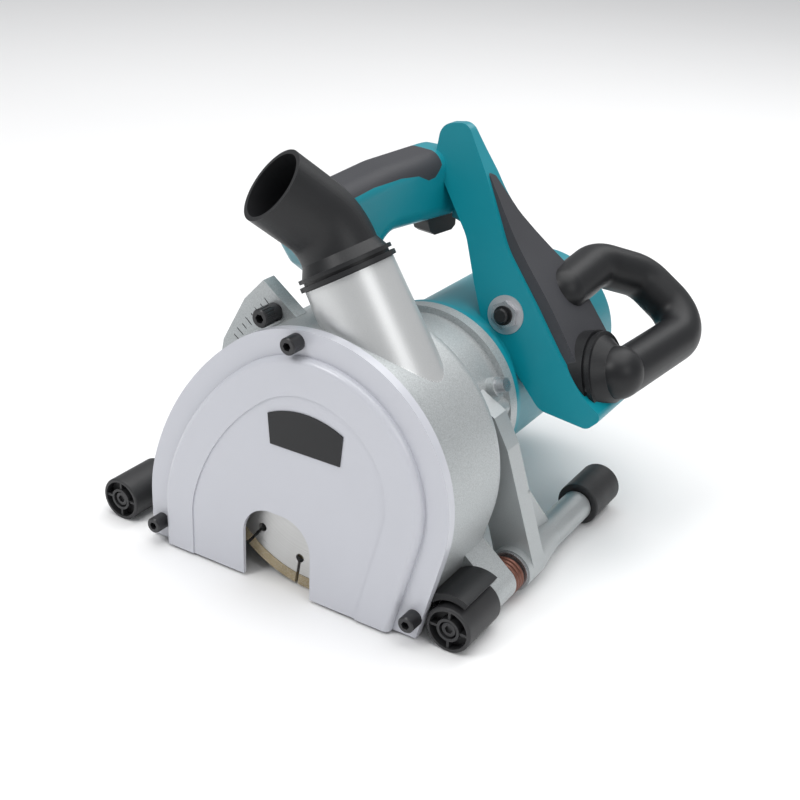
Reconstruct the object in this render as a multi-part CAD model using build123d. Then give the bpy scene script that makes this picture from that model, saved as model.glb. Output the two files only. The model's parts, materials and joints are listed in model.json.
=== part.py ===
from build123d import *
from math import atan2, cos, degrees, hypot, pi, radians, sin, sqrt, tan
import copy
import os

# Wall chaser: a guard on rollers carries two diamond blades on a motor unit that
# swings down about the right-hand roller axis.  Millimetres.  +Z is up, Y is the
# motor and blade axis (the guard cover faces -Y), X is the cutting direction.
# The tool is drawn on the ground plane z = 0 with the cover's joint at y = 0 and
# moved at the end so that the origin is under the middle of the whole tool.

# ---- driving dimensions --------------------------------------------------------
blade_radius = 75.0
blade_thick = 2.2
blade_gap = 18.0             # between the two blades
rim_height = 7.0             # diamond rim
arbor_radius = 11.1
roller_radius = 14.0
roller_length = 36.0
axle_radius = 4.0
roller_base = 240.8          # left roller axis to right roller axis
pivot_x = 112.3              # plunge axis, which is also the right rollers' axis
plunge_degrees = 18.0
spindle_x, spindle_z = 17.0, 76.0    # with the motor unit raised
motor_x, motor_z = 28.0, 90.0
guard_x, guard_z, guard_radius = 22.0, 79.0, 88.0    # outline round the raised blades
plunge_x, plunge_z, plunge_radius = -5.4, 30.0, 93.5    # and round the plunged ones
guard_crown = 180.0          # radius of the arc that joins the two
guard_depth = 68.0
guard_wall = 3.5
guard_lean = 14.0            # slope of the right-hand edge, degrees
ground_gap = 2.0             # guard above the ground
sheet = 2.0                  # pressed cover
plunge_gap = 2.0             # between the guard's back and the gearbox
gear_length = 50.0           # gearbox, front to flange
flange_radius = 58.0
motor_radius = 53.0
motor_wall = 3.0
motor_length = 158.0         # flange to the end of the rear cap
cap_length = 12.0
column_length = 68.0         # flange to the column's back
handle_half = 17.0           # half the width of the main handle
loop_radius = 14.4           # section of the rear loop handle
hose_radius = 22.0           # outside of the dust elbow
pinion_teeth, gear_teeth = 9, 27
running = 0.05               # radial clearance of parts that turn
gap = 0.4                    # between parts that move past each other

gear_front = guard_depth + plunge_gap
flange_y = gear_front + gear_length
motor_end = flange_y + motor_length
column_back = flange_y + column_length
pivot_z = roller_radius
left_x = pivot_x - roller_base
swing_radius = hypot(spindle_x - pivot_x, spindle_z - pivot_z)
swing_start = degrees(atan2(spindle_z - pivot_z, spindle_x - pivot_x))


# ---- helpers -------------------------------------------------------------------
def slab(face, y0, y1):
    """The XZ outline `face` as a plate from y0 to y1."""
    return extrude(Plane.XZ.offset(-y1) * face, y1 - y0)


def rod(x, z, radius, y0, y1):
    return slab(Pos(x, z) * Circle(radius), y0, y1)


def tube(x, z, outer, inner, y0, y1):
    return slab(Pos(x, z) * (Circle(outer) - Circle(inner)), y0, y1)


def bar(start, direction, radius, length, end_radius=None):
    """A round bar or cone from `start` along `direction`."""
    near = Plane(origin=start, z_dir=direction)
    if end_radius is None:
        return extrude(near * Circle(radius), length)
    far = Plane(origin=Vector(*start) + Vector(*direction).normalized() * length, z_dir=direction)
    return loft([near * Circle(radius), far * Circle(end_radius)])


def polygon(points):
    return make_face(Polyline(*points, close=True))


def rounded(corners):
    """Closed outline through (a, b, radius) corners."""
    path = FilletPolyline(*[c[:2] for c in corners], radius=[c[2] for c in corners], close=True)
    return make_face(path)


def polar(radius, angle, x=0.0, z=0.0):
    return (x + radius * cos(radians(angle)), z + radius * sin(radians(angle)))


def biggest(shape):
    return shape.solids().sort_by(SortBy.VOLUME)[-1]


def arc_band(radius, half, start, stop, round_ends=False):
    """Band along a circle about the plunge axis, angles in degrees."""
    outer, inner, mid = radius + half, radius - half, (start + stop) / 2
    ends = [polar(r, a, pivot_x, pivot_z) for r in (outer, inner) for a in (start, mid, stop)]
    face = make_face(Wire([
        ThreePointArc(ends[0], ends[1], ends[2]), Line(ends[2], ends[5]),
        ThreePointArc(ends[5], ends[4], ends[3]), Line(ends[3], ends[0]),
    ]))
    if round_ends:
        for angle in (start, stop):
            face += Pos(*polar(radius, angle, pivot_x, pivot_z)) * Circle(half)
    return face


def cap_screw(x, z, y0, head_radius, head_length, shank_radius, shank_length):
    """Screw along +Y whose head starts at y0, with a hexagon socket."""
    head = rod(x, z, head_radius, y0, y0 + head_length)
    head = chamfer(head.edges().filter_by(GeomType.CIRCLE).group_by(Axis.Y)[0], head_radius * 0.14)
    key = slab(Pos(x, z) * RegularPolygon(head_radius * 0.52, 6), y0 - 1, y0 + head_length * 0.6)
    shank = rod(x, z, shank_radius, y0 + head_length, y0 + head_length + shank_length)
    return head - key + shank


nodes = {}


def keep(name, *shapes):
    """Store a sub-part; several solids become one group node."""
    nodes[name] = [s for shape in shapes for s in shape.solids()]


# ---- guard outline: three tangent arcs and two legs -----------------------------------
span = hypot(guard_x - plunge_x, guard_z - plunge_z)
to_plunge, to_guard = guard_crown - plunge_radius, guard_crown - guard_radius
crown_along = (to_plunge**2 - to_guard**2 + span**2) / (2 * span)
crown_aside = sqrt(to_plunge**2 - crown_along**2)
heading = degrees(atan2(guard_z - plunge_z, guard_x - plunge_x))
crown_x, crown_z = polar(crown_along, heading, *polar(crown_aside, heading - 90, plunge_x, plunge_z))
guard_join = degrees(atan2(guard_z - crown_z, guard_x - crown_x))
plunge_join = degrees(atan2(plunge_z - crown_z, plunge_x - crown_x))


def guard_outline(inset, floor=-30.0):
    r1, r2, r3 = guard_radius - inset, plunge_radius - inset, guard_crown - inset
    right = polar(r1, -guard_lean, guard_x, guard_z)
    top = polar(r1, (guard_join - guard_lean) / 2, guard_x, guard_z)
    join_1 = polar(r1, guard_join, guard_x, guard_z)
    crown = polar(r3, (guard_join + plunge_join) / 2, crown_x, crown_z)
    join_2 = polar(r2, plunge_join, plunge_x, plunge_z)
    side = polar(r2, (plunge_join + 180) / 2, plunge_x, plunge_z)
    left = (plunge_x - r2, plunge_z)
    right_foot = (right[0] - (right[1] - floor) * tan(radians(guard_lean)), floor)
    return make_face(Wire([
        ThreePointArc(right, top, join_1), ThreePointArc(join_1, crown, join_2),
        ThreePointArc(join_2, side, left), Line(left, (left[0], floor)),
        Line((left[0], floor), right_foot), Line(right_foot, right),
    ]))


def above_ground(shape):
    return shape - Pos(0, 100, ground_gap - 50) * Box(500, 400, 100)


# ---- guard casting -------------------------------------------------------------------
cover_screw_places = [(11.3, 159.6), (-90.5, 13.5), (92.0, 15.5)]
screw_hole = 2.6
foot_front, foot_back = roller_length + 1.5, guard_depth - 8.0
foot_boss = 11.2
pin_radius = 6.0
spigot_radius = 7.0
nose_radius = 24.0

drum = slab(guard_outline(2.2), 0, guard_depth)
drum = fillet(drum.edges().group_by(Axis.Y)[-1].filter_by(lambda e: e.center().Z > -29), 12.0)
hollow = slab(guard_outline(2.2 + guard_wall), -1, guard_depth - guard_wall)
hollow = fillet(hollow.edges().group_by(Axis.Y)[-1].filter_by(lambda e: e.center().Z > -29), 9.0)
casting = drum - hollow
for x, z in cover_screw_places:
    casting += rod(x, z, 6.0, 0, 14.0) & drum


def foot(x, upper, lower):
    """Cast foot from an axle boss to two points on the drum."""
    side = 1 if x > 0 else -1
    return Pos(x, pivot_z) * Circle(foot_boss) + polygon([
        (x, pivot_z - foot_boss), (x + side * foot_boss * 0.7, pivot_z + foot_boss * 0.7), upper, lower,
    ])


feet = slab(foot(pivot_x, (84.0, 52.0), (80.0, pivot_z - foot_boss)), foot_front, foot_back)
feet += slab(foot(left_x, (-80.0, 40.0), (-80.0, pivot_z - foot_boss)), foot_front, foot_back)
casting += feet - hollow
casting = above_ground(casting)
nose_path = arc_band(swing_radius, nose_radius + 3.0, swing_start - 1, swing_start + plunge_degrees + 1, True)
casting -= slab(nose_path, guard_depth - 20, guard_depth + 1)
for x, z in cover_screw_places:
    casting -= rod(x, z, screw_hole, -1, 12)
casting -= rod(pivot_x, pivot_z, pin_radius, foot_front + 10, foot_back + 1)
casting -= rod(left_x, pivot_z, spigot_radius, foot_front + 10, foot_back + 1)
for x in (pivot_x, left_x):
    casting -= rod(x, pivot_z, axle_radius, foot_front - 1, foot_front + 10)

# Round dust duct that leaves the drum tangentially.
port_axis = Vector(-0.51, 0, 0.86).normalized()
port_top = Vector(19.5, guard_depth / 2, 189.6)
port_radius, port_foot_radius = 26.0, 28.5
port_length = 95.0
port_wall = 3.0
port_base = port_top - port_axis * port_length
port_solid = bar(port_base, port_axis, port_foot_radius, port_length, port_radius)
port_hole = bar(port_base - port_axis, port_axis, port_radius - port_wall, port_length + 2)
port = biggest(port_solid - port_hole - drum)
casting = biggest(casting - port_hole)
keep("guard_casting", casting)
keep("dust_port", port)

# ---- guard cover: pressed sheet with a raised arch, a shallow panel and a notch --------
rise = 5.0
rise_inset = 14.5
panel_inset = 36.5
notch_half, notch_top = 24.0, 51.0
cover = slab(guard_outline(0), -sheet, 0)
cover += slab(guard_outline(rise_inset), -sheet - rise, 0)
raised_front = cover.edges().group_by(Axis.Y)[0].filter_by(lambda e: e.center().Z > -29)
cover = fillet(raised_front, 3.5)
cover -= slab(guard_outline(rise_inset + sheet), -rise, 1)
cover -= slab(guard_outline(panel_inset), -sheet - rise - 1, -sheet - rise + 0.8)
cover += slab(guard_outline(0) - guard_outline(1.6), 0, 4.0)
notch = Pos(0, notch_top / 2 - 20) * Rectangle(notch_half * 2, notch_top + 40)
notch = fillet(notch.vertices().group_by(Axis.Y)[-1], 20.0)
cover -= slab(notch, -20, 10)
cover += slab(offset(notch, 1.4) - notch, -rise - 1, -sheet - 2)
cover = above_ground(cover)
for x, z in cover_screw_places:
    cover -= rod(x, z, screw_hole + 0.3, -10, 1)
keep("guard_cover", biggest(cover))

cover_head = 5.0
keep("cover_screws", *[
    cap_screw(x, z, -sheet - 9.5, cover_head, 9.5, screw_hole - 0.05, 9.0) for x, z in cover_screw_places
])

# Plain badge on the cover's panel, without lettering.
badge_x, badge_z = 20.0, 96.0
badge = polygon([(-23.5, 0), (23.5, 0), (25.2, 18.5), (-25.2, 18.5)])
badge += Pos(0, 24.5 - 56) * Circle(56) & Pos(0, 22.5) * Rectangle(50.4, 8)
badge_y = -sheet - rise + 0.8
keep("cover_badge", biggest(slab(Pos(badge_x, badge_z) * badge, badge_y - 0.7, badge_y)))

# Moulded fender above the front right roller.
fender = slab(arc_band(19.0, 2.0, 62.0, 175.0), 3.0, foot_front - 1.0)
fender += slab(polygon([(84, 44), (97, 34), (99, 20), (84, 16)]), 8.0, foot_front - 1.0)
keep("roller_fender", biggest(fender - drum - slab(guard_outline(0), -3, 6)))

# ---- depth scale: a sector plate on the guard with a slot about the plunge axis ---------
scale_y, scale_thick = 30.0, 3.0
slot_radius = 200.5
slot_half = 3.0
stop_angle = 134.4
stop_travel = 1.8            # degrees
scale_face = polygon([(-36.3, 174.4), (-13.0, 157.5), (-20, 120), (-70, 110), (-66, 131), (-50, 160)])
scale = slab(scale_face, scale_y, scale_y + scale_thick)
scale_lip = polygon([(-36.3, 174.4), (-13.0, 157.5), (-14.4, 155.5), (-37.7, 172.4)])
scale += slab(scale_lip, scale_y, scale_y + 10)
slot_end = 0.8               # degrees past the screw's travel, each way
slot_path = arc_band(slot_radius, slot_half, stop_angle - slot_end, stop_angle + stop_travel + slot_end, True)
scale -= slab(slot_path, scale_y - 1, scale_y + 9)
for k in range(8):
    tick = arc_band(207.5, 3.0 if k % 2 == 0 else 2.0, 134.5 + 1.4 * k, 134.7 + 1.4 * k)
    scale -= slab(tick, scale_y - 1, scale_y + 0.5)
keep("depth_scale", biggest(scale - drum - port_solid))

stop_x, stop_z = polar(slot_radius, stop_angle, pivot_x, pivot_z)
stop_screw = cap_screw(stop_x, stop_z, scale_y - gap - 14.0, 5.6, 14.0, slot_half - 0.3, 10.0)
for k in range(16):
    kx, kz = polar(5.7, 22.5 * k, stop_x, stop_z)
    stop_screw -= rod(kx, kz, 0.5, scale_y - 14, scale_y - 6)
keep("depth_stop_screw", stop_screw)
stop_nut = RegularPolygon(5.2, 6) - Circle(slot_half - 0.3)
nut_y = scale_y + scale_thick + gap
keep("depth_stop_nut", slab(Pos(stop_x, stop_z) * stop_nut, nut_y, nut_y + 4.5))

# ---- dust elbow: rubber bend clipped on the port ------------------------------------------
elbow_turn = Vector(-0.454, -0.641, 0.618).normalized()
elbow_rise, elbow_run, bend_radius = 27.0, 41.0, 34.0
elbow_start = port_top + port_axis * gap
corner = elbow_start + port_axis * elbow_rise
half_turn = port_axis.get_angle(elbow_turn) / 2
leg = bend_radius * tan(radians(half_turn))
bisector = (elbow_turn - port_axis).normalized()
bend_middle = corner + bisector * (bend_radius / cos(radians(half_turn)) - bend_radius)
mouth = corner + elbow_turn * elbow_run
elbow_path = Wire([
    Line(elbow_start, corner - port_axis * leg),
    ThreePointArc(corner - port_axis * leg, bend_middle, corner + elbow_turn * leg),
    Line(corner + elbow_turn * leg, mouth),
])
elbow_plane = Plane(origin=elbow_start, z_dir=port_axis)
hose_wall = 2.6
elbow = sweep(elbow_plane * Circle(hose_radius), path=elbow_path)
elbow += bar(elbow_start, port_axis, port_radius + 2.0, 2.6)
elbow += bar(elbow_start, port_axis, port_radius - 1.0, 5.0)
elbow += bar(elbow_start + port_axis * 4.4, port_axis, port_radius + 1.2, 2.2)
elbow += bar(elbow_start + port_axis * 6.6, port_axis, port_radius - 1.0, 6.0, hose_radius)
elbow += bar(elbow_start - port_axis * 9.0, port_axis, port_radius - port_wall - gap, 9.0)
elbow -= sweep(elbow_plane * Circle(hose_radius - hose_wall), path=elbow_path)
elbow -= bar(mouth - elbow_turn, elbow_turn, hose_radius - hose_wall, 3)
elbow -= bar(elbow_start - port_axis * 10.0, port_axis, hose_radius - hose_wall, 10.5)
keep("dust_elbow", biggest(elbow))

# ---- rollers ------------------------------------------------------------------------------
strut_radius = 10.0
rear_y = column_back - 20.0


def roller(x, y0):
    """Moulded roller with a recessed, spoked end that faces -Y."""
    body = rod(x, pivot_z, roller_radius, y0, y0 + roller_length)
    body = fillet(body.edges().filter_by(GeomType.CIRCLE), 1.2)
    recess = slab(Pos(x, pivot_z) * (Circle(roller_radius - 2.2) - Circle(7.0)), y0 - 1, y0 + 6.0)
    spokes = Rectangle(2 * roller_radius - 3, 1.5) + Rectangle(1.5, 2 * roller_radius - 3)
    body -= recess - slab(Pos(x, pivot_z) * spokes, y0 + 0.8, y0 + 7)
    body -= rod(x, pivot_z, 5.4, y0 - 1, y0 + 4.0)
    return body - rod(x, pivot_z, axle_radius + running, y0 - 1, y0 + roller_length + 1)


def roller_screw(x, y0, grip):
    return cap_screw(x, pivot_z, y0 + 1.0, 4.9, 2.7, axle_radius, roller_length - 3.7 + grip)


def turned(shape, y0):
    """The same roller part for the rear, facing +Y."""
    return mirror(shape, Plane.XZ.offset(-(y0 + roller_length / 2)))


for side, x in (("left", left_x), ("right", pivot_x)):
    keep(f"front_{side}_roller", roller(x, 0))
    keep(f"rear_{side}_roller", turned(roller(x, rear_y), rear_y))

rear_left_screw = turned(roller_screw(left_x, rear_y, 14.0), rear_y)
keep("guard_roller_screws", roller_screw(left_x, 0, 10.5), roller_screw(pivot_x, 0, 10.5), rear_left_screw)
keep("arm_roller_screw", turned(roller_screw(pivot_x, rear_y, 14.0), rear_y))
tube_end = rear_y - 1.5
strut = rod(left_x, pivot_z, strut_radius, foot_back, tube_end)
strut += rod(left_x, pivot_z, spigot_radius, foot_front + 12, foot_back)
strut -= rod(left_x, pivot_z, axle_radius, tube_end - 14, tube_end + 1)
keep("rear_left_strut", strut)

# ---- plunge pivot ----------------------------------------------------------------------------
boss_front = gear_front + 3.0
arm_front, arm_back = gear_front + 8.0, gear_front + 22.0
boss_radius = 13.5
washer_thick = 1.5
pin_end = arm_back + 12.0
keep("pivot_pin", rod(pivot_x, pivot_z, pin_radius, foot_front + 11, pin_end))
washer_back = boss_front - gap / 2
keep("pivot_washer", tube(
    pivot_x, pivot_z, 12.5, pin_radius + running, washer_back - washer_thick, washer_back))
wire = 1.5
coil_radius = 10.0
coil_start = foot_back + wire + 0.2
coil_length = washer_back - washer_thick - wire - 0.2 - coil_start
coil = Helix(
    pitch=coil_length / 2.5, height=coil_length, radius=coil_radius,
    center=(pivot_x, coil_start, pivot_z), direction=(0, 1, 0),
)
keep("return_spring", sweep(Plane(origin=coil @ 0, z_dir=coil % 0) * Circle(wire), path=coil, is_frenet=True))

# ---- gearbox -----------------------------------------------------------------------------------
nose_front = 34.0
nose_bearing, nose_bearing_width = 19.5, 9.0
room_front, room_back = gear_front + 4.0, gear_front + 28.0
journal, rear_journal = 8.0, 5.0
tail_bearing, tail_bearing_width = 9.5, 7.0
motor_bearing, motor_bearing_width = 11.0, 8.0
shaft_hole = 5.5
lug_reach = 51.0
lug_radius = 6.5
lug_angles = (-62.0, 8.0, 128.0, 205.0)
gear_body = rod(motor_x, motor_z, 54.0, gear_front, flange_y - 6)
gear_body = fillet(gear_body.edges().filter_by(GeomType.CIRCLE).group_by(Axis.Y)[0], 6.0)
gear_body += rod(motor_x, motor_z, flange_radius, flange_y - 8, flange_y)
gear_body += rod(spindle_x, spindle_z, nose_radius, nose_front, gear_front + 2)
lug_places = [polar(lug_reach, a, motor_x, motor_z) for a in lug_angles]
for x, z in lug_places:
    gear_body += rod(x, z, lug_radius, gear_front + 10, flange_y - 1)
post_top = 139.0             # where the main handle stands on the gearbox
post_foot = [(-46.0, post_top), (-8.0, post_top), (20.0, 122.0), (-10.0, 92.0), (-22.0, 104.0)]
gear_body += slab(polygon(post_foot), gear_front + 4, flange_y - 8)
gear_body -= rod(spindle_x, spindle_z, 20.0, room_front, room_back)
gear_body -= rod(motor_x, motor_z, 14.0, room_front, room_back)
gear_body -= rod(spindle_x, spindle_z, journal + 1.5, nose_front, room_front + 1)
gear_body -= rod(spindle_x, spindle_z, nose_bearing, nose_front - 1, nose_front + nose_bearing_width)
gear_body -= rod(spindle_x, spindle_z, tail_bearing, room_back - 1, room_back + tail_bearing_width)
gear_body -= rod(motor_x, motor_z, shaft_hole, room_back - 1, flange_y + 1)
gear_body -= rod(motor_x, motor_z, motor_bearing, flange_y - motor_bearing_width, flange_y + 1)
for x, z in lug_places:
    gear_body -= rod(x, z, 2.5, gear_front, flange_y + 1)
    gear_body -= rod(x, z, 5.4, gear_front - 2, gear_front + 10)
stud_angle, stud_y = 25.0, gear_front + 31.0
outward = Vector(cos(radians(stud_angle)), 0, sin(radians(stud_angle)))
motor_centre = Vector(motor_x, stud_y, motor_z)
gear_body += bar(motor_centre + outward * 46, outward, 6.0, 13.0)
gear_body = biggest(gear_body)
stud = bar(motor_centre + outward * 59, outward, 4.2, 6.0)
keep("oil_plug", stud)
keep("gearbox_screws", *[
    cap_screw(x, z, gear_front + 4.0, 5.0, 6.0, 2.45, flange_y - gear_front - 12) for x, z in lug_places
])

# Swing arm: from the gearbox down to the plunge pivot, with the rear roller's tube.
arm_top = (92.0, 106.0)
arm_face = Pos(pivot_x, pivot_z) * Circle(boss_radius) + polygon([
    (pivot_x - boss_radius * 0.96, pivot_z + 3), (pivot_x + boss_radius * 0.97, pivot_z + 4),
    (102.0, 88.0), arm_top, (70.0, 118.0), (60.0, 84.0), (82.0, 74.0),
])
arm = slab(arm_face, arm_front, arm_back)
arm += rod(pivot_x, pivot_z, boss_radius, boss_front, arm_back + 4)
arm += bar((pivot_x, arm_back + 3, pivot_z), (0, 1, 0), boss_radius, 26, strut_radius)
arm += rod(pivot_x, pivot_z, strut_radius, arm_back, tube_end)
rib = Plane.YZ * polygon([
    (arm_back - 1, pivot_z + 46), (arm_back - 1, pivot_z),
    (arm_back + 34, pivot_z), (arm_back + 34, pivot_z + 7),
])
arm += Pos(pivot_x - 7, 0, 0) * extrude(rib, 7)
arm -= gear_body
for x, z in lug_places:
    arm -= rod(x, z, lug_radius + 0.5, gear_front, flange_y)
arm -= rod(pivot_x, pivot_z, pin_radius + running, boss_front - 1, pin_end + 1)
arm -= rod(pivot_x, pivot_z, axle_radius, tube_end - 14, tube_end + 1)
keep("swing_arm", biggest(arm))
keep("gearbox_housing", gear_body)

# ---- spindle, blades and reduction gear ------------------------------------------------------------
front_blade_y = 4.5
rear_blade_y = front_blade_y + blade_thick + blade_gap
flange_disc, flange_width = 20.0, 4.0
hub = 7.0
hub_end = rear_blade_y + blade_thick + flange_width
gear_y0, gear_y1 = room_front + 6, room_front + 18
spindle = rod(spindle_x, spindle_z, hub, -3.6, hub_end)
spindle += rod(spindle_x, spindle_z, journal, hub_end, gear_y1)
spindle += rod(spindle_x, spindle_z, rear_journal, gear_y1, room_back + tail_bearing_width - 0.5)
keep("spindle", spindle)
disc = Circle(blade_radius) - Circle(arbor_radius)
for k in range(12):
    slot = Pos(blade_radius - 8, 0) * Rectangle(20, 2.0) + Pos(blade_radius - 18, 0) * Circle(2.8)
    disc -= Rot(0, 0, 30 * k - 97.7) * slot
rim_ring = Circle(blade_radius + 1) - Circle(blade_radius - rim_height)
blade_place = Pos(spindle_x, spindle_z)
blade_ys = (front_blade_y, rear_blade_y)
keep("front_blade", slab(blade_place * (disc - rim_ring), front_blade_y, front_blade_y + blade_thick))
keep("rear_blade", slab(blade_place * (disc - rim_ring), rear_blade_y, rear_blade_y + blade_thick))
keep("blade_rims", *[
    slab(blade_place * (disc & rim_ring), y - 0.3, y + blade_thick + 0.3) for y in blade_ys
])
spacer = tube(spindle_x, spindle_z, 16.0, hub, front_blade_y + blade_thick, rear_blade_y)
spacer += tube(spindle_x, spindle_z, arbor_radius, hub, front_blade_y, rear_blade_y + blade_thick)
keep("blade_spacer", spacer)
keep("blade_flanges", *[
    tube(spindle_x, spindle_z, flange_disc, hub, y, y + flange_width)
    for y in (front_blade_y - flange_width, hub_end - flange_width)
])
spindle_nut = RegularPolygon(12.5, 6) - Circle(hub)
keep("spindle_nut", slab(blade_place * spindle_nut, -3.2, front_blade_y - flange_width))
keep(
    "spindle_bearings",
    tube(
        spindle_x, spindle_z, nose_bearing, journal + running,
        nose_front, nose_front + nose_bearing_width,
    ),
    tube(
        spindle_x, spindle_z, tail_bearing, rear_journal + running,
        room_back, room_back + tail_bearing_width,
    ),
)

centres = hypot(motor_x - spindle_x, motor_z - spindle_z)
module = 2 * centres / (pinion_teeth + gear_teeth)
mesh_angle = atan2(motor_z - spindle_z, motor_x - spindle_x)


def gear_face(teeth, bore, turn):
    """Spur gear with straight-sided teeth."""
    pitch = module * teeth / 2
    step = 2 * pi / teeth
    tip, root = pitch + 0.85 * module, pitch - 1.15 * module
    points = []
    for k in range(teeth):
        for r, share in ((root, -0.36), (tip, -0.13), (tip, 0.13), (root, 0.36)):
            angle = turn + (k + share) * step
            points.append((r * cos(angle), r * sin(angle)))
    return polygon(points) - Circle(bore)


keep("spindle_gear", slab(blade_place * gear_face(gear_teeth, journal, mesh_angle), gear_y0, gear_y1))
pinion_core = 2.2
pinion = gear_face(pinion_teeth, pinion_core, mesh_angle + pi + pi / pinion_teeth)
keep("pinion", slab(Pos(motor_x, motor_z) * pinion, gear_y0 - 1, gear_y1 + 1))

# ---- motor ----------------------------------------------------------------------------------------
shaft = 4.0
fan_y = flange_y + 7.0
core_y0, core_y1 = flange_y + 28.0, flange_y + 78.0
commutator_y0, commutator_y1 = flange_y + 86.0, flange_y + 110.0
rear_bearing_y = motor_end - 28.0
stator_outer = motor_radius - motor_wall
cap_front = motor_end - cap_length
armature = rod(motor_x, motor_z, shaft, gear_y1 + 2, rear_bearing_y + motor_bearing_width)
armature += rod(motor_x, motor_z, pinion_core, gear_y0 - 2, gear_y1 + 2)
keep("armature_shaft", armature)
core = Circle(24.0) - Circle(shaft)
for k in range(12):
    core -= Rot(0, 0, 30 * k) * Pos(21.5, 0) * Rectangle(7, 2.4)
keep("armature_core", slab(Pos(motor_x, motor_z) * core, core_y0, core_y1))
keep("commutator", tube(motor_x, motor_z, 15.0, shaft, commutator_y0, commutator_y1))
vanes = Circle(14.0) - Circle(shaft)
for k in range(12):
    vanes += Rot(0, 0, 30 * k) * Pos(25, 0) * Rectangle(24, 2.0)
fan = slab(Pos(motor_x, motor_z) * vanes, fan_y + 2.0, fan_y + 13)
keep("fan", fan + tube(motor_x, motor_z, 37.0, shaft, fan_y, fan_y + 2.0))
keep("motor_bearings", *[
    tube(motor_x, motor_z, motor_bearing, shaft + running, y, y + motor_bearing_width)
    for y in (flange_y - motor_bearing_width, rear_bearing_y)
])
stator = Circle(stator_outer) - Circle(25.0)
for turn in (0, 180):
    stator -= Rot(0, 0, turn) * Pos(0, 34) * Rectangle(40, 12)
keep("field_stator", slab(Pos(motor_x, motor_z) * stator, core_y0 - 2, core_y1 + 2))
brush_y = (commutator_y0 + commutator_y1) / 2
sides = (-1, 1)
keep("brushes", *[Pos(motor_x + s * 24.0, brush_y, motor_z) * Box(16, 11, 6) for s in sides])
keep("brush_holders", *[
    Pos(motor_x + s * 34.0, brush_y, motor_z) * (Box(28, 17, 12) - Pos(-s * 3, 0, 0) * Box(24, 11.4, 6.4))
    for s in sides
])
housing = tube(motor_x, motor_z, motor_radius, stator_outer, flange_y, cap_front)
housing += tube(motor_x, motor_z, flange_radius, stator_outer, flange_y, flange_y + 4.0)
cap = rod(motor_x, motor_z, motor_radius, cap_front, motor_end)
cap = fillet(cap.edges().filter_by(GeomType.CIRCLE).group_by(Axis.Y)[-1], 5.0)
cap -= rod(motor_x, motor_z, stator_outer, cap_front - 1, motor_end - 3.5)
cap += tube(motor_x, motor_z, 15.0, motor_bearing, rear_bearing_y, motor_end - 3)
for k in range(10):
    vent = Rot(0, 0, 36 * k) * Pos(33, 0) * SlotOverall(22, 4)
    cap -= slab(Pos(motor_x, motor_z) * vent, motor_end - 6, motor_end + 1)
keep("motor_rear_cap", cap)
for k in range(6):
    housing -= Pos(motor_x - 50, cap_front - 46 + 6.5 * k, motor_z) * Box(60, 3, 36)
keep("motor_housing", biggest(housing))

# ---- column: the two-part housing beside the motor that carries both handles ----------------
column_wall = 3.5
front_low = (flange_y + 6.6, 76.0)      # (y, z) at the foot and the top of its leaning front face
front_top = (flange_y + 37.1, 256.0)
lean = (front_top[0] - front_low[0]) / (front_top[1] - front_low[1])
seam_step = 9.0              # front shell's depth
column_face = rounded([
    (1.0, 226.0, 8), (2.5, 248.0, 9), (20.5, 250.5, 8), (37.3, 223.1, 40), (58.7, 181.8, 60),
    (83.7, 152.2, 80), (103.1, 127.7, 80), (122.0, 107.0, 40), (137.0, 98.0, 4), (128.0, 89.0, 6),
    (96.0, 92.5, 12), (76.0, 112.0, 6), (50.0, 134.0, 8), (40.0, 158.0, 40), (30.0, 185.0, 30),
])
column_side = rounded([
    (*front_top, 1), (flange_y + 42.0, 256.0, 1), (flange_y + 44.0, 236.0, 30),
    (flange_y + 48.0, 210.0, 40), (flange_y + 58.0, 188.0, 30),
    (column_back, 168.0, 20), (column_back, 76.0, 1), (*front_low, 1),
])


def through_x(face):
    """A YZ outline as a bar along X, right through the column."""
    return Pos(-80, 0, 0) * extrude(Plane.YZ * face, 280)


motor_space = rod(motor_x, motor_z, motor_radius, flange_y, motor_end)
motor_collar = rod(motor_x, motor_z, motor_radius + column_wall, flange_y, motor_end)
grip_floor = 188.5           # underside of the main handle
handle_seat = polygon([(9.0, 222.0), (9.0, grip_floor), (34.0, 180.0), (34.0, 200.0)])
column_prism = slab(column_face, flange_y, column_back + 1)
column_body = column_prism + slab(handle_seat, flange_y + 44, column_back + 1)
column_body = biggest((column_body & through_x(column_side)) - motor_space)
column_room = slab(offset(column_face, -column_wall), flange_y, column_back)
column_room &= through_x(offset(column_side, -column_wall))
column_room -= motor_collar
column = column_body - column_room
front_half = through_x(polygon([
    (front_low[0] - 20, 60), (front_low[0] + seam_step - 16 * lean, 60),
    (front_top[0] + seam_step + 4 * lean, 260), (front_top[0] - 20, 260),
]))

# Grip skin on the column's right-hand side.
skin_face = make_face([
    Spline((36.0, 226.0), (49.5, 206.0), (63.7, 185.8), (89.1, 156.4), (108.5, 131.5), (125.0, 110.0)),
    Polyline((125.0, 110.0), (90.0, 110.0), (20.0, 226.0), (36.0, 226.0)),
])
skin_side = rounded([
    (front_low[0] + 3, 76.0, 1), (front_top[0] - 2.5, 224.0, 2), (flange_y + 40.5, 221.0, 2),
    (flange_y + 47.5, 200.0, 25), (flange_y + 58.0, 182.0, 25), (column_back, 164.0, 15),
    (column_back, 76.0, 1),
])
skin = slab(skin_face, flange_y, column_back + 1) & through_x(skin_side)
skin = biggest(skin - column_body - motor_space)

# Thermal cut-out with its reset button in the column's front.
reset_direction = Vector(0, -1, lean).normalized()
reset_x, reset_z = 64.3, 144.0
reset_seat = Vector(reset_x, front_low[0] + lean * (reset_z - front_low[1]), reset_z)
button_radius, button_travel = 4.5, 3.0
neck_radius = 6.0


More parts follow.
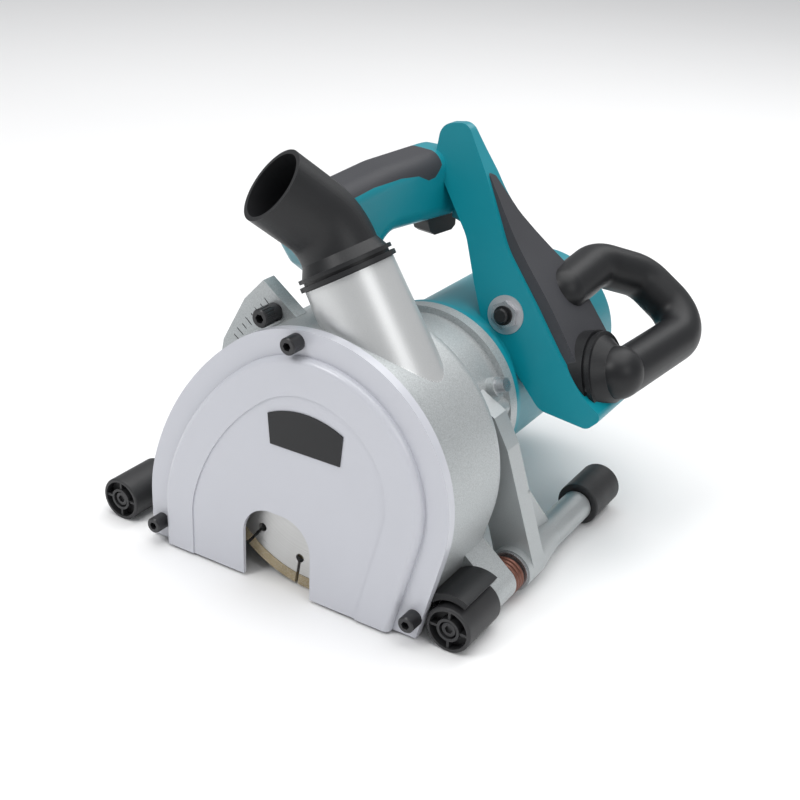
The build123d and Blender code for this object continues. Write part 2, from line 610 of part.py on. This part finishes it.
def on_reset(radius, start, stop):
    """Round bar on the reset button's axis, `start` and `stop` outwards from the column's face."""
    return bar(reset_seat + reset_direction * start, reset_direction, radius, stop - start)


neck_back = -11.0
column -= on_reset(neck_radius, neck_back, 1)
breaker = on_reset(neck_radius, neck_back, 4.5) + Pos(63, flange_y + 38, 150) * Box(12, 20, 20)
breaker = breaker - on_reset(button_radius + running, -8.5, 6)
keep("breaker", biggest(breaker - motor_collar))
keep("reset_label", on_reset(12.0, 0, 0.6) - on_reset(neck_radius, -1, 2))
nut_plane = Plane(origin=reset_seat + reset_direction * 0.6, z_dir=reset_direction)
keep("reset_nut", extrude(nut_plane * RegularPolygon(9.0, 6), 3.0) - on_reset(neck_radius, -1, 5))
button = on_reset(button_radius, -8.5 + button_travel, 8.0)
keep("reset_button", chamfer(button.edges().sort_by(Axis.Y)[0], 0.8))
keep("column_front_shell", biggest(column & front_half))
keep("column_rear_shell", biggest(column - front_half))

# ---- rear loop handle ---------------------------------------------------------------------------
loop_base = Vector(131.2, column_back - 28.0, 116.0)
loop_u = Vector(-0.8, 0, 0.6)
loop_w = Vector(0.2, 1, 0).normalized()
ball_radius = 16.4
loop_points = [(-2, 0), (-9, 91), (38, 88), (62, 60), (60, 16)]
loop_plane = Plane(origin=loop_base, x_dir=loop_u, z_dir=loop_u.cross(loop_w))
loop_wire = loop_plane * FilletPolyline(*loop_points, radius=22)
loop = sweep(Plane(origin=loop_wire @ 0, z_dir=loop_wire % 0) * Circle(loop_radius), path=loop_wire)
loop += Pos(*loop_base) * Sphere(ball_radius)
loop += Pos(*(loop_wire @ 1)) * Sphere(loop_radius)
loop = biggest(loop - column_body - skin)
collar_axis = Vector(0.956, 0, 0.292).normalized()
collar_base = loop_base - collar_axis * 16.0
collar = bar(collar_base - collar_axis * 4, collar_axis, 26.5, 9.0)
collar += bar(collar_base + collar_axis * 5.0, collar_axis, 24.5, 1.6)
collar += bar(collar_base + collar_axis * 6.6, collar_axis, 25.5, 2.6)
collar += bar(collar_base + collar_axis * 9.2, collar_axis, 23.0, 8.0, 15.0)
collar = biggest(collar - loop - column_prism - skin)
keep("loop_handle", loop)
keep("loop_collar", collar)
keep("column_grip", skin)

# ---- main handle ---------------------------------------------------------------------------------------
# Its side view lies in an upright plane through handle_root; `a` runs forwards from there.
handle_root = Vector(-1.3, column_back - 5.5, 0.0)
handle_forward = Vector(-0.2, -0.98, 0.0).normalized()
handle_plane = Plane(origin=handle_root, x_dir=handle_forward, z_dir=handle_forward.cross(Vector(0, 0, 1)))
handle_round = 11.0
root_end = -8.0


def across(face, half):
    """A side view of the handle, as a body of width 2 * half."""
    return extrude(handle_plane * face, half, both=True)


def back_limit(inset):
    """Space in front of the handle's rear end, which follows the column's back and steps out low down."""
    upper = Pos(0, flange_y - 60 - inset, 180) * Box(300, 210, 160)
    lower = Pos(0, column_back - inset - 50, 208 - inset - 50) * Box(300, 100, 100)
    return through_x(offset(column_side, -inset) if inset else column_side) + upper + lower


handle_face = rounded([
    (root_end, 229.5, 6), (21.0, 232.5, 60), (71.0, 229.0, 80), (116.0, 221.0, 30), (143.0, 198.0, 14),
    (131.0, 178.0, 10), (111.5, 161.5, 8), (109.5, post_top, 1.5), (78.0, post_top, 1.5), (80.0, 169.0, 30),
    (76.0, grip_floor, 13), (root_end, grip_floor, 1.5),
])
handle = across(handle_face, handle_half)
long_edges = [
    e for e in handle.edges()
    if abs(abs((e.center() - handle_root).dot(handle_plane.z_dir)) - handle_half) < 0.01
]
handle = fillet(long_edges, handle_round)
handle_wall = 4.5
handle_room = across(offset(handle_face, -handle_wall), handle_half - 5.0)
handle_room &= back_limit(handle_wall)
handle = (handle & back_limit(0)) - column_body
handle = handle - gear_body - handle_room
grip_line = [
    (31.4, 224.6), (37.4, 218.0), (43.3, 217.0), (52.3, 221.0), (67.0, 222.0), (89.0, 220.2),
    (110.6, 215.8), (125.5, 208.0), (132.5, 196.0),
]
grip_zone = across(polygon(grip_line + [(155, 196), (155, 260), (31.4, 260)]), handle_half + 1)
keep("handle_grip", biggest(handle & grip_zone))
handle_shell = handle - grip_zone
trigger_start, trigger_stop = 4.5, 31.0
side_gap = 0.5
slot_a, slot_b = trigger_start - side_gap, trigger_stop + side_gap
slot_low, slot_high = 180.0, grip_floor + 8
slot_face = polygon([(slot_a, slot_low), (slot_b, slot_low), (slot_b, slot_high), (slot_a, slot_high)])
handle_shell -= across(slot_face, 7.5)
half_space = extrude(handle_plane * polygon([(-60, 100), (180, 100), (180, 300), (-60, 300)]), 60)
keep("handle_half_right", biggest(handle_shell & half_space))
keep("handle_half_left", biggest(handle_shell - half_space))

trigger_travel = 5.0
lip_z = grip_floor + handle_wall + gap
trigger = across(polygon([
    (trigger_start, lip_z + 2), (trigger_start, 179.5), (8.0, 176.8), (24.0, 176.4), (28.0, 179.0),
    (trigger_stop, 186.0), (trigger_stop, lip_z + 2),
]), 7.0)
trigger = fillet(trigger.edges().group_by(Axis.Z)[0], 1.0)
stem = across(polygon([
    (trigger_start - 1, lip_z), (trigger_stop + 2, lip_z),
    (trigger_stop + 2, lip_z + 2.4), (trigger_start - 1, lip_z + 2.4),
]), 9.0)
keep("trigger", trigger + stem)
switch_z = lip_z + 2.4 + trigger_travel + 1.0
switch = across(polygon([(24, switch_z), (50, switch_z), (50, 220), (24, 220)]), 9.0)
keep("switch_body", biggest(switch - column_body))

# Rubber collar where the supply cord would enter, in the column's back.
gland_x, gland_z = 98.0, 112.0
keep("cord_gland", tube(gland_x, gland_z, 8.0, 4.5, column_back, column_back + 12))

# ---- centre everything over the origin and write the parts ------------------------------------
whole = Compound(children=[copy.copy(s) for solids in nodes.values() for s in solids]).bounding_box()
shift = Vector(-(whole.min.X + whole.max.X) / 2, -(whole.min.Y + whole.max.Y) / 2, -whole.min.Z)
os.makedirs("parts", exist_ok=True)
for name, solids in nodes.items():
    moved = [Location(shift) * s for s in solids]
    export_step(moved[0] if len(moved) == 1 else Compound(children=moved), f"parts/{name}.step")
print(len(nodes), "parts, shift", shift, "size", whole.size)
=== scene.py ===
import json
import math
import bpy
from mathutils import Matrix, Vector


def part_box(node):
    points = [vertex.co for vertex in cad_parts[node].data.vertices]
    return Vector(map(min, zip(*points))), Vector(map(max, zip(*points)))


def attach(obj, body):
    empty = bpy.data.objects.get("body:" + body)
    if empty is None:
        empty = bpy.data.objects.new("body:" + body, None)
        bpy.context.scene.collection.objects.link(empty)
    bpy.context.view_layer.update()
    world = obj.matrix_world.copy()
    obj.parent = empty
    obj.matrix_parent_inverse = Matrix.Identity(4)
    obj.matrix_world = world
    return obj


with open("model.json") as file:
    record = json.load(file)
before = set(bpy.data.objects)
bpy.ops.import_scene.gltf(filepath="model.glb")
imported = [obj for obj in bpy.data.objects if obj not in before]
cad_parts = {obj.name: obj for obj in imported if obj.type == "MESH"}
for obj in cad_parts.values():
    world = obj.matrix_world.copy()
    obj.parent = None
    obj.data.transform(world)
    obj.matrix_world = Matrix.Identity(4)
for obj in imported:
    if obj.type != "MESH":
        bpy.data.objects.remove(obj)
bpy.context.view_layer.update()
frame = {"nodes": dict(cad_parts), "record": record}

mm = 0.001
nodes = frame["nodes"]
jointPlace = {j["name"]: Vector(j["pos_m"]) for j in frame["record"]["behaviour"]["joints"] if "pos_m" in j}
print("frame loaded:", len(nodes), "nodes")


class Field:
    # one output socket of a material's node tree, which ordinary arithmetic can use
    def __init__(self, finish, socket):
        self.finish = finish
        self.socket = socket

    def calc(self, operation, other=0.0, swapped=False):
        pair = (other, self) if swapped else (self, other)
        return self.finish.node("ShaderNodeMath", {"operation": operation}, {0: pair[0], 1: pair[1]})

    def __add__(self, other): return self.calc("ADD", other)
    def __radd__(self, other): return self.calc("ADD", other)
    def __sub__(self, other): return self.calc("SUBTRACT", other)
    def __rsub__(self, other): return self.calc("SUBTRACT", other, True)
    def __mul__(self, other): return self.calc("MULTIPLY", other)
    def __rmul__(self, other): return self.calc("MULTIPLY", other)

    def clamp(self, low=0.0, high=1.0):
        settings = {"clamp": True}
        return self.finish.node("ShaderNodeMapRange", settings, {0: self, 1: low, 2: high, 3: 0.0, 4: 1.0})


class Finish:
    # a Principled material whose nodes are added one call at a time
    def __init__(self, name):
        self.material = bpy.data.materials.new(name)
        self.material.use_nodes = True
        self.tree = self.material.node_tree
        self.shader = self.tree.nodes["Principled BSDF"]
        self.place = self.node("ShaderNodeTexCoord", {}, {}, "Object")

    def node(self, kind, settings, values, output=0):
        made = self.tree.nodes.new(kind)
        for key, value in settings.items():
            setattr(made, key, value)
        for key, value in values.items():
            self.feed(made.inputs[key], value)
        return Field(self, made.outputs[output])

    def feed(self, socket, value):
        if isinstance(value, Field):
            self.tree.links.new(value.socket, socket)
        else:
            socket.default_value = value

    def set(self, **values):
        for key, value in values.items():
            self.feed(self.shader.inputs[key.replace("_", " ")], value)
        return self

    def noise(self, size, detail=3.0, rough=0.55, place=None):
        # `size` is the width of one blotch in metres
        values = {"Vector": place or self.place, "Scale": 1.0 / size, "Detail": detail, "Roughness": rough}
        return self.node("ShaderNodeTexNoise", {}, values, "Fac")

    def cells(self, size):
        return self.node("ShaderNodeTexVoronoi", {}, {"Vector": self.place, "Scale": 1.0 / size}, "Distance")

    def blend(self, share, first, second):
        values = {0: share, 6: first, 7: second}
        return self.node("ShaderNodeMix", {"data_type": "RGBA"}, values, 2)

    def bump(self, height, depth, strength=1.0, under=None):
        values = {"Height": height, "Distance": depth, "Strength": strength}
        if under is not None:
            values["Normal"] = under
        return self.node("ShaderNodeBump", {}, values, "Normal")

    def edges(self, radius):
        # 0 on open faces, rising towards 1 on sharp corners
        rounded = self.node("ShaderNodeBevel", {"samples": 6}, {"Radius": radius}, "Normal")
        plain = self.node("ShaderNodeNewGeometry", {}, {}, "True Normal")
        pair = {0: rounded, 1: plain}
        agree = self.node("ShaderNodeVectorMath", {"operation": "DOT_PRODUCT"}, pair, "Value")
        return 1 - agree

    def axisDistance(self, centre):
        # distance from a line along Y through `centre`
        pair = {0: self.place, 1: tuple(centre)}
        offset = self.node("ShaderNodeVectorMath", {"operation": "SUBTRACT"}, pair)
        flat = self.node("ShaderNodeVectorMath", {"operation": "MULTIPLY"}, {0: offset, 1: (1, 0, 1)})
        return self.node("ShaderNodeVectorMath", {"operation": "LENGTH"}, {0: flat}, "Value")


def tone(colour, factor):
    return tuple(min(1.0, c * factor) for c in colour[:3]) + (1.0,)


def moulded(name, look):
    # plastic or rubber: fine mould texture, cloudy colour, pale scuffs on its corners
    f = Finish(name)
    colour = look["colour"]
    cloud = f.noise(look["cloud"], 4.0)
    fine = f.noise(look["grain"], 2.0)
    scuff = (f.edges(look["edge"]) * f.noise(5 * mm, 5.0) * 3.0 - 0.25).clamp(0.0, 1.2)
    base = f.blend(cloud, tone(colour, 1 - look["vary"]), tone(colour, 1 + look["vary"]))
    worn = f.blend(scuff * look["wear"], base, look["scuffColour"])
    f.set(Base_Color=worn)
    f.set(Roughness=look["rough"] + (cloud - 0.5) * look["roughVary"] + (fine - 0.5) * 0.08)
    f.set(Normal=f.bump(fine, look["depth"], 0.6))
    f.shader.inputs["Coat Weight"].default_value = look.get("coat", 0.0)
    f.shader.inputs["Coat Roughness"].default_value = 0.3
    f.shader.inputs["Specular IOR Level"].default_value = look.get("specular", 0.5)
    return f.material


def castMetal(name, look):
    # sand-cast metal: salt-and-pepper grain, shallow pits, rubbed corners
    f = Finish(name)
    colour = look["colour"]
    grain = f.noise(look["grain"], 3.0, 0.7)
    cloud = f.noise(45 * mm, 3.0)
    pits = f.cells(look["pit"]).clamp(0.05, 0.45)
    rub = (f.edges(1.2 * mm) * 2.2 - 0.2).clamp(0.0, 1.0)
    speckled = f.blend((grain - 0.5) * look["contrast"] + 0.5, tone(colour, 0.72), tone(colour, 1.16))
    clouded = f.blend(cloud * 0.35, speckled, tone(colour, 0.86))
    f.set(Base_Color=f.blend(rub * 0.5, clouded, tone(colour, 1.25)))
    f.set(Roughness=look["rough"] + (grain - 0.5) * 0.25 - rub * 0.1)
    f.shader.inputs["Metallic"].default_value = look["metallic"]
    deep = f.bump(pits, look["depth"], 0.5)
    f.set(Normal=f.bump(grain, look["depth"], 0.7, deep))
    return f.material


def turnedMetal(name, look):
    # lathe-turned or ground metal: rings about the spindle or motor axis
    f = Finish(name)
    radius = f.axisDistance(look["centre"])
    ringValues = {"W": radius, "Scale": 1 / look["ring"], "Detail": 4.0}
    rings = f.node("ShaderNodeTexNoise", {"noise_dimensions": "1D"}, ringValues, "Fac")
    cloud = f.noise(12 * mm, 4.0)
    base = f.blend(rings, tone(look["colour"], 0.78), tone(look["colour"], 1.12))
    f.set(Base_Color=f.blend(cloud * 0.25, base, tone(look["colour"], 0.65)))
    f.set(Roughness=look["rough"] + (rings - 0.5) * 0.2 + (cloud - 0.5) * 0.15)
    f.shader.inputs["Metallic"].default_value = look["metallic"]
    f.set(Normal=f.bump(rings, 0.03 * mm, 0.5))
    return f.material


def sprayedPaint(name, look):
    # semi-gloss paint on pressed sheet: faint orange peel, dust, chips along the edges
    f = Finish(name)
    peel = f.noise(look["peel"], 2.0)
    cloud = f.noise(60 * mm, 3.0)
    dust = f.noise(1.6 * mm, 6.0, 0.75).clamp(0.6, 0.78)
    chips = (f.edges(0.7 * mm) * 3.0 * f.noise(3 * mm, 6.0, 0.7) - 0.62).clamp(0.0, 0.15)
    base = f.blend(cloud, tone(look["colour"], 0.965), tone(look["colour"], 1.03))
    dusty = f.blend(dust * 0.10, base, look["dustColour"])
    f.set(Base_Color=f.blend(chips * 0.7, dusty, look["chipColour"]))
    f.set(Roughness=look["rough"] + dust * 0.15 + (cloud - 0.5) * 0.08)
    f.set(Normal=f.bump(peel, 0.02 * mm, 0.6))
    f.shader.inputs["Coat Weight"].default_value = 0.35
    f.shader.inputs["Coat Roughness"].default_value = 0.18
    return f.material


def grit(name, look):
    # sintered bond with small diamonds standing out of it
    f = Finish(name)
    stones = (1 - f.cells(look["stone"])).clamp(0.45, 0.9)
    cloud = f.noise(6 * mm, 5.0)
    base = f.blend(cloud, tone(look["colour"], 0.65), tone(look["colour"], 1.25))
    f.set(Base_Color=f.blend(stones * 0.55, base, look["stoneColour"]))
    f.set(Roughness=0.85 - stones * 0.35)
    f.set(Normal=f.bump(stones, 0.15 * mm, 0.8))
    f.shader.inputs["Metallic"].default_value = 0.15
    return f.material


spindleCentre = jointPlace["spindle_spin"]
motorCentre = jointPlace["armature_spin"]
pivotCentre = jointPlace["plunge"]
scuffPale = (0.32, 0.33, 0.34, 1.0)

tealLook = {"colour": (0.0, 0.232, 0.292), "vary": 0.06, "cloud": 40 * mm, "grain": 0.45 * mm,
            "depth": 0.03 * mm, "edge": 0.8 * mm, "wear": 0.16, "scuffColour": (0.10, 0.42, 0.47, 1.0),
            "rough": 0.36, "roughVary": 0.12, "coat": 0.12}
blackLook = {"colour": (0.0095, 0.010, 0.0112), "vary": 0.2, "cloud": 25 * mm, "grain": 0.5 * mm,
             "depth": 0.05 * mm, "edge": 0.7 * mm, "wear": 0.12, "scuffColour": scuffPale, "rough": 0.42,
             "roughVary": 0.16, "specular": 0.35}
gripLook = {"colour": (0.036, 0.037, 0.043), "vary": 0.14, "cloud": 18 * mm, "grain": 0.7 * mm,
            "depth": 0.09 * mm, "edge": 0.8 * mm, "wear": 0.14, "scuffColour": scuffPale, "rough": 0.60,
            "roughVary": 0.16}
rollerLook = {"colour": (0.022, 0.022, 0.0235), "vary": 0.25, "cloud": 9 * mm, "grain": 0.6 * mm,
              "depth": 0.07 * mm, "edge": 1.2 * mm, "wear": 0.3, "scuffColour": scuffPale, "rough": 0.52,
              "roughVary": 0.25}
elbowLook = {"colour": (0.0105, 0.011, 0.0122), "vary": 0.2, "cloud": 30 * mm, "grain": 0.8 * mm,
             "depth": 0.10 * mm, "edge": 0.8 * mm, "wear": 0.15, "scuffColour": scuffPale, "rough": 0.43,
             "roughVary": 0.15, "specular": 0.4}
oxideLook = {"colour": (0.02, 0.02, 0.022), "vary": 0.3, "cloud": 4 * mm, "grain": 0.3 * mm,
             "depth": 0.02 * mm, "edge": 0.5 * mm, "wear": 0.5, "scuffColour": (0.36, 0.36, 0.37, 1.0),
             "rough": 0.36, "roughVary": 0.2}
castLook = {"colour": (0.50, 0.525, 0.53), "grain": 0.8 * mm, "pit": 1.3 * mm, "contrast": 2.6,
            "depth": 0.10 * mm, "rough": 0.48, "metallic": 0.55}
portLook = {"colour": (0.66, 0.67, 0.67), "grain": 0.5 * mm, "pit": 1.6 * mm, "contrast": 0.5,
            "depth": 0.03 * mm, "rough": 0.36, "metallic": 0.55}
armLook = {"colour": (0.50, 0.525, 0.53), "grain": 0.6 * mm, "pit": 1.4 * mm, "contrast": 1.0,
           "depth": 0.07 * mm, "rough": 0.42, "metallic": 0.6}
bladeLook = {"colour": (0.60, 0.60, 0.59), "ring": 0.7 * mm, "rough": 0.34, "metallic": 0.85,
             "centre": spindleCentre}
steelLook = {"colour": (0.55, 0.56, 0.58), "ring": 0.4 * mm, "rough": 0.30, "metallic": 0.9,
             "centre": motorCentre}
pivotLook = {"colour": (0.55, 0.57, 0.60), "ring": 0.4 * mm, "rough": 0.32, "metallic": 0.9,
             "centre": pivotCentre}
springLook = {"colour": (0.20, 0.085, 0.06), "ring": 0.5 * mm, "rough": 0.38, "metallic": 0.55,
              "centre": pivotCentre}
copperLook = {"colour": (0.68, 0.34, 0.19), "ring": 0.5 * mm, "rough": 0.33, "metallic": 0.9,
              "centre": motorCentre}
paintLook = {"colour": (0.545, 0.555, 0.60), "peel": 1.4 * mm, "rough": 0.30,
             "dustColour": (0.42, 0.42, 0.43, 1.0), "chipColour": (0.30, 0.30, 0.31, 1.0)}
rimLook = {"colour": (0.36, 0.29, 0.18), "stone": 0.9 * mm, "stoneColour": (0.62, 0.58, 0.48, 1.0)}
badgeLook = dict(blackLook, rough=0.22, grain=0.25 * mm, depth=0.004 * mm, wear=0.05)

finishes = {
    "teal_shell": moulded("tealShell", tealLook),
    "black_shell": moulded("blackShell", blackLook),
    "soft_rubber": moulded("softGrip", gripLook),
    "roller_rubber": moulded("rollerRubber", rollerLook),
    "black_screw": moulded("blackOxide", oxideLook),
    "insulation": moulded("insulation", dict(blackLook, colour=(0.09, 0.03, 0.02))),
    "carbon": moulded("carbon", dict(blackLook, rough=0.6)),
    "cast_silver": castMetal("castSilver", castLook),
    "machined_steel": turnedMetal("groundSteel", bladeLook),
    "zinc_steel": turnedMetal("zincSteel", steelLook),
    "label_silver": turnedMetal("labelDisc", dict(steelLook, colour=(0.72, 0.72, 0.74), rough=0.4)),
    "spring_steel": turnedMetal("springWire", springLook),
    "copper": turnedMetal("copper", copperLook),
    "cover_paint": sprayedPaint("coverPaint", paintLook),
    "diamond_rim": grit("diamondRim", rimLook),
}
nodeFinish = {
    "dust_port": castMetal("portSilver", portLook),
    "swing_arm": castMetal("armSilver", armLook),
    "rear_left_strut": castMetal("strutSilver", armLook),
    "dust_elbow": moulded("elbowRubber", elbowLook),
    "pivot_pin": turnedMetal("pinSteel", pivotLook),
    "cover_badge": moulded("badgeGloss", badgeLook),
}
for part in frame["record"]["subparts"]:
    look = nodeFinish.get(part["node"], finishes[part["material_slot"]])
    obj = nodes[part["node"]]
    obj.data.materials.clear()
    obj.data.materials.append(look)
print("finishes assigned")


class Tree:
    # a Geometry Nodes tree with named size inputs
    def __init__(self, name, sizes):
        self.group = bpy.data.node_groups.new(name, "GeometryNodeTree")
        self.group.interface.new_socket("Geometry", in_out="OUTPUT", socket_type="NodeSocketGeometry")
        self.sizes = sizes
        for key, value in sizes.items():
            kind = "NodeSocketInt" if isinstance(value, int) else "NodeSocketFloat"
            socket = self.group.interface.new_socket(key, in_out="INPUT", socket_type=kind)
            socket.default_value = value
        self.entry = self.group.nodes.new("NodeGroupInput")

    def size(self, key):
        return self.entry.outputs[key]

    def add(self, kind, settings, values, output=0):
        made = self.group.nodes.new(kind)
        for key, value in settings.items():
            setattr(made, key, value)
        for key, value in values.items():
            if isinstance(value, bpy.types.NodeSocket):
                self.group.links.new(value, made.inputs[key])
            else:
                made.inputs[key].default_value = value
        return made.outputs[output]

    def maths(self, operation, first, second=0.0):
        return self.add("ShaderNodeMath", {"operation": operation}, {0: first, 1: second})

    def build(self, name, last, material, values):
        real = self.add("GeometryNodeRealizeInstances", {}, {"Geometry": last})
        painted = self.add("GeometryNodeSetMaterial", {}, {"Geometry": real, "Material": material})
        way = self.group.nodes.new("NodeGroupOutput")
        self.group.links.new(painted, way.inputs[0])
        holder = bpy.data.objects.new(name, bpy.data.meshes.new(name))
        bpy.context.scene.collection.objects.link(holder)
        modifier = holder.modifiers.new("Shape", "NODES")
        modifier.node_group = self.group
        for item in self.group.interface.items_tree:
            if item.in_out == "INPUT" and item.name in values:
                modifier[item.identifier] = values[item.name]
        seen = holder.evaluated_get(bpy.context.evaluated_depsgraph_get())
        mesh = bpy.data.meshes.new_from_object(seen)
        mesh.materials.clear()
        mesh.materials.append(material)
        holder.modifiers.clear()
        holder.data = mesh
        return holder


def ringTree(name, sizes):
    # points on an arc about a line along Y, each with its own bar
    tree = Tree(name, sizes)
    index = tree.add("GeometryNodeInputIndex", {}, {})
    angle = tree.maths("ADD", tree.maths("MULTIPLY", index, tree.size("Step")), tree.size("Start"))
    across = tree.maths("MULTIPLY", tree.maths("COSINE", angle), tree.size("Radius"))
    above = tree.maths("MULTIPLY", tree.maths("SINE", angle), tree.size("Radius"))
    x = tree.maths("ADD", across, tree.size("Centre X"))
    z = tree.maths("ADD", above, tree.size("Centre Z"))
    spot = tree.add("ShaderNodeCombineXYZ", {}, {"X": x, "Y": tree.size("Depth"), "Z": z})
    line = tree.add("GeometryNodeMeshLine", {}, {"Count": tree.size("Count")})
    placed = tree.add("GeometryNodeSetPosition", {}, {"Geometry": line, "Position": spot})
    sides = {"X": tree.size("Length"), "Y": tree.size("Height"), "Z": tree.size("Width")}
    size = tree.add("ShaderNodeCombineXYZ", {}, sides)
    bar = tree.add("GeometryNodeMeshCube", {}, {"Size": size})
    turn = tree.add("ShaderNodeCombineXYZ", {}, {"Y": tree.maths("MULTIPLY", angle, -1.0)})
    bars = tree.add("GeometryNodeInstanceOnPoints", {}, {"Points": placed, "Instance": bar, "Rotation": turn})
    return tree, bars


# painted marks in the depth scale's engraved lines
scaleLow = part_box("depth_scale")[0]
tickLook = {"count": 8, "radius": 207.5 * mm, "step": 1.4, "start": 134.6,    # angles in degrees
            "length": 4.2 * mm, "width": 0.7 * mm, "height": 0.4 * mm, "sunk": 0.25 * mm}
tickSizes = {
    "Count": tickLook["count"], "Radius": tickLook["radius"], "Step": math.radians(tickLook["step"]),
    "Start": math.radians(tickLook["start"]), "Centre X": pivotCentre.x, "Centre Z": pivotCentre.z,
    "Depth": scaleLow[1] + tickLook["sunk"], "Length": tickLook["length"], "Width": tickLook["width"],
    "Height": tickLook["height"],
}
tickTree, tickBars = ringTree("scaleTicks", tickSizes)
scaleTicks = tickTree.build("scaleTicks", tickBars, finishes["black_shell"], tickSizes)
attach(scaleTicks, "guard")
print("depth scale marked")

floorLook = {"size": 8, "blotch": 0.5, "rough": 0.7,
             "low": (0.90, 0.90, 0.90, 1), "high": (0.93, 0.93, 0.93, 1)}
bpy.ops.mesh.primitive_plane_add(size=floorLook["size"], location=(0, 0, 0))
floor = bpy.context.object
floor.name = "floor"
floorFinish = Finish("paleFloor")
floorCloud = floorFinish.noise(floorLook["blotch"])
floorFinish.set(Base_Color=floorFinish.blend(floorCloud, floorLook["low"], floorLook["high"]))
floorFinish.set(Roughness=floorLook["rough"])
floor.data.materials.append(floorFinish.material)

world = bpy.data.worlds.new("studio")
bpy.context.scene.world = world
world.use_nodes = True
surround = world.node_tree.nodes["Background"].inputs
surround["Color"].default_value = (0.97, 0.98, 1.0, 1.0)
surround["Strength"].default_value = 0.40


def softLight(name, place, aim, power, size):
    data = bpy.data.lights.new(name, "AREA")
    data.energy = power
    data.shape = "DISK"
    data.size = size
    lamp = bpy.data.objects.new(name, data)
    lamp.location = place
    lamp.rotation_euler = (Vector(aim) - Vector(place)).to_track_quat("-Z", "Y").to_euler()
    bpy.context.scene.collection.objects.link(lamp)


softLight("ceilingLight", (0.1, 0.4, 2.6), (0, 0.4, 0), 62, 3.2)
softLight("keyLight", (-0.5, -1.1, 1.3), (0, 0, 0.1), 8, 0.6)
softLight("sideLight", (1.3, -0.5, 0.9), (0, 0, 0.1), 3.5, 0.8)
softLight("backLight", (0.2, 1.2, 1.2), (0, 0, 0.12), 3, 0.8)

cameraLook = {"place": (366.5 * mm, -628.6 * mm, 418.0 * mm), "azimuth": 31.27, "elevation": 25.05,
              "roll": 2.46, "lens": 55.91, "shiftX": 0.0057, "shiftY": -0.0113}
azimuth, elevation, roll = (math.radians(cameraLook[k]) for k in ("azimuth", "elevation", "roll"))
ahead = math.cos(elevation)
back = Vector((math.sin(azimuth) * ahead, -math.cos(azimuth) * ahead, math.sin(elevation)))
level = Vector((math.cos(azimuth), math.sin(azimuth), 0))
upright = back.cross(level)
right = level * math.cos(roll) + upright * math.sin(roll)
up = upright * math.cos(roll) - level * math.sin(roll)
cameraData = bpy.data.cameras.new("camera")
cameraData.lens = cameraLook["lens"]
cameraData.sensor_width = 36
cameraData.shift_x = cameraLook["shiftX"]
cameraData.shift_y = cameraLook["shiftY"]
cameraData.clip_start = 0.01
camera = bpy.data.objects.new("camera", cameraData)
turn = Matrix((right, up, back)).transposed().to_4x4()
camera.matrix_world = Matrix.Translation(cameraLook["place"]) @ turn
bpy.context.scene.collection.objects.link(camera)
bpy.context.scene.camera = camera
bpy.context.scene.view_settings.view_transform = "Standard"
print("stage, lights and camera set")
